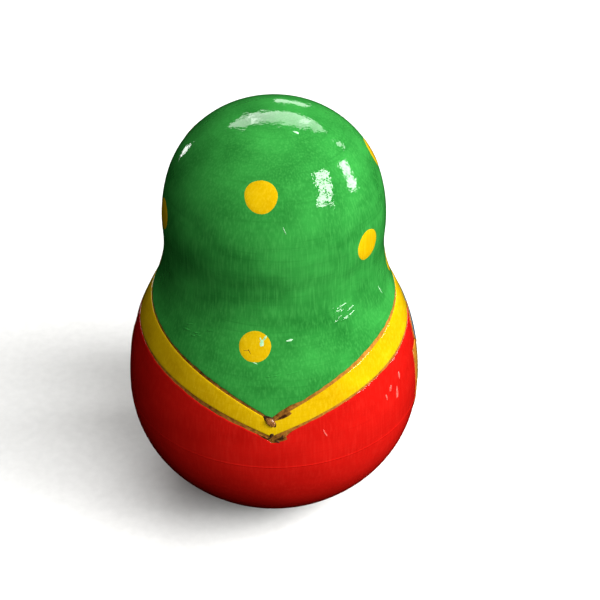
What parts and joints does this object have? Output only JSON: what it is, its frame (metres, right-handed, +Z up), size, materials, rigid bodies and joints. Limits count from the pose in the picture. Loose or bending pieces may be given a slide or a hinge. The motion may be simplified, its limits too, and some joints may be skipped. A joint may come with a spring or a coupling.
{
  "type": "roly-poly doll",
  "caption": "Turned and painted wooden doll with a weighted round base that rights itself, and a hanging striker that chimes on tuned rods inside.",
  "frame": {"origin": "middle of the small flat on the round base that the doll stands on", "axes": "+Z up along the doll's turning axis, and the doll's face towards -Y"},
  "size_m": [0.0842, 0.0841, 0.126],
  "materials": {
    "painted_wood": "turned limewood, painted and lacquered, glossy",
    "cast_iron": "as cast",
    "zinc_steel": "zinc plated",
    "plywood": "birch plywood, unfinished",
    "brass": "turned",
    "spring_steel": "drawn and polished"
  },
  "bodies": {
    "doll": {"upper_shell": "painted_wood", "lower_bowl": "painted_wood", "ballast_weight": "cast_iron", "ballast_washer": "zinc_steel", "ballast_screw": "zinc_steel", "chime_board": "plywood", "board_screws": "brass", "rod_block": "brass", "block_screws": "zinc_steel", "chime_rod_1": "spring_steel", "chime_rod_2": "spring_steel", "chime_rod_3": "spring_steel", "chime_rod_4": "spring_steel", "hanger_arch": "zinc_steel", "arch_screws": "brass", "hanger_eye": "zinc_steel", "eye_nut": "brass"},
    "link": {"hanger_link": "zinc_steel"},
    "striker": {"striker_wire": "spring_steel", "striker_ball": "spring_steel", "striker_ferrules": "brass"}
  },
  "joints": [
    {"name": "link_swing", "type": "hinge", "parent": "doll", "child": "link", "pos_m": [0, 0, 0.0841], "axis": [1, 0, 0], "range_deg": [-8, 8]},
    {"name": "striker_swing", "type": "hinge", "parent": "link", "child": "striker", "pos_m": [0, 0, 0.0758], "axis": [0, 1, 0], "range_deg": [-10, 10]}
  ]
}
